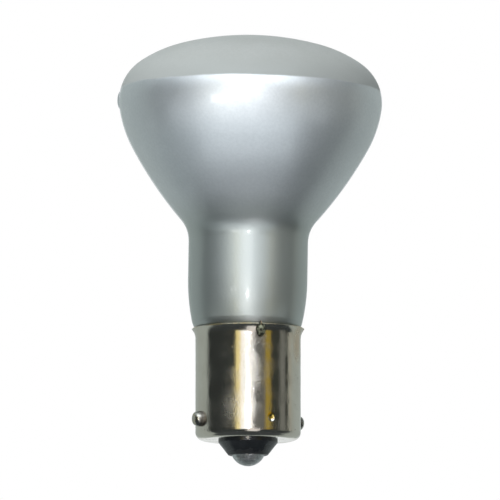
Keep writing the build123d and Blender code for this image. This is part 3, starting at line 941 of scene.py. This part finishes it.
add_bump(tree, shader, waves, strength=0.4, depth=0.03)
dress(black_glass, "insulator")

# %% [markdown]
# ## Solder
# The solder is tin and lead. It froze fast, so it is lumpy and dull, with darker
# skin in the hollows. Displacement could raise the lumps, but the solid already has
# the drop's form, and a deep bump is enough for the rest.

# %% Finish: solder
TIN_IN_HOLLOWS = (0.66, 0.69, 0.70)
TIN_ON_LUMPS = (0.80, 0.82, 0.83)
TIN_SKIN = (0.44, 0.45, 0.44)

solder, tree, shader, mm = new_finish("solder", Metallic=1.0)
lumps = use_group(tree, soft_patches, mm, Size=0.7, Coverage=0.5, Softness=0.3)
skin = use_group(tree, soft_patches, mm, Size=0.25, Coverage=0.45, Softness=0.2, Offset=(1.0, 8.0, 3.0))
colour = blend_colours(tree, lumps, TIN_IN_HOLLOWS, TIN_ON_LUMPS)
colour = blend_colours(tree, weaken(tree, skin, 0.5), colour, TIN_SKIN)
tree.links.new(colour, shader.inputs["Base Color"])
tree.links.new(blend_values(tree, skin, 0.36, 0.55), shader.inputs["Roughness"])
relief = calculate(tree, "MULTIPLY_ADD", skin, 0.35, lumps)
add_bump(tree, shader, relief, strength=0.9, depth=0.09)
dress(solder, "contact_solder")

# %% [markdown]
# The bead on the lip is the same metal, but the flux that stayed on it has dried to
# a dark crust, so it gets a finish of its own.

# %% Finish: bead with flux
BARE_BEAD = (0.36, 0.37, 0.26)
FLUX_CRUST = (0.055, 0.055, 0.042)

bead, tree, shader, mm = new_finish("fluxed_solder", Metallic=1.0)
flux = use_group(tree, soft_patches, mm, Size=0.45, Coverage=0.55, Softness=0.12, Offset=(6.0, 2.0, 4.0))
skin = use_group(tree, soft_patches, mm, Size=0.16, Coverage=0.5, Softness=0.2)
tree.links.new(blend_colours(tree, flux, BARE_BEAD, FLUX_CRUST), shader.inputs["Base Color"])
tree.links.new(blend_values(tree, flux, 0.32, 0.5), shader.inputs["Roughness"])
relief = calculate(tree, "MULTIPLY_ADD", skin, 0.4, flux)
add_bump(tree, shader, relief, strength=1.0, depth=0.12)
dress(bead, "side_solder")

# %% [markdown]
# ## Hidden metals
# The contact plate is tinned brass, and the lead wires are copper-clad. Only slivers
# of them show, at the solder and between glass and lip. Both are one colour that
# turns to another in patches, so one helper makes them.


# %% Finish: plate and wires
def patchy_metal(name, size, softness, colours, roughness, depth):
    """A metal whose colour and roughness change together, in patches."""
    material, tree, shader, mm = new_finish(name, Metallic=1.0)
    patches = use_group(tree, soft_patches, mm, Size=size, Coverage=0.5, Softness=softness)
    tree.links.new(blend_colours(tree, patches, *colours), shader.inputs["Base Color"])
    tree.links.new(blend_values(tree, patches, *roughness), shader.inputs["Roughness"])
    add_bump(tree, shader, patches, strength=0.4, depth=depth)
    return material


BRASS = (0.66, 0.50, 0.23)
TIN_ON_BRASS = (0.52, 0.51, 0.46)
COPPER = (0.48, 0.35, 0.24)
TARNISHED_COPPER = (0.24, 0.18, 0.13)

bare_brass = patchy_metal("bare_brass", 0.9, 0.15, (BRASS, TIN_ON_BRASS), (0.24, 0.38), 0.01)
dress(bare_brass, "contact_plate")
lead_wire = patchy_metal("lead_wire", 0.3, 0.2, (COPPER, TARNISHED_COPPER), (0.28, 0.5), 0.005)
dress(lead_wire, "lead_wire_contact", "lead_wire_shell")

# %% [markdown]
# ## Cement
# The basing cement is baked resin and stone dust. It is beige, rough and grainy, and
# browner where the heat has reached it. Only a thin line of it shows, so fine noise
# stands for its grains.

# %% Finish: cement
BEIGE = (0.58, 0.50, 0.31)
BAKED_BROWN = (0.40, 0.31, 0.17)
GRIT = (0.66, 0.60, 0.44)

cement, tree, shader, mm = new_finish("cement", IOR=1.5)
browning = use_group(tree, soft_patches, mm, Size=1.8, Coverage=0.5, Softness=0.2)
grit = use_group(tree, soft_patches, mm, Size=0.12, Coverage=0.5, Softness=0.25)
colour = blend_colours(tree, browning, BEIGE, BAKED_BROWN)
colour = blend_colours(tree, weaken(tree, grit, 0.5), colour, GRIT)
tree.links.new(colour, shader.inputs["Base Color"])
tree.links.new(blend_values(tree, grit, 0.75, 0.95), shader.inputs["Roughness"])
add_bump(tree, shader, grit, strength=0.8, depth=0.05)
dress(cement, "basing_cement")
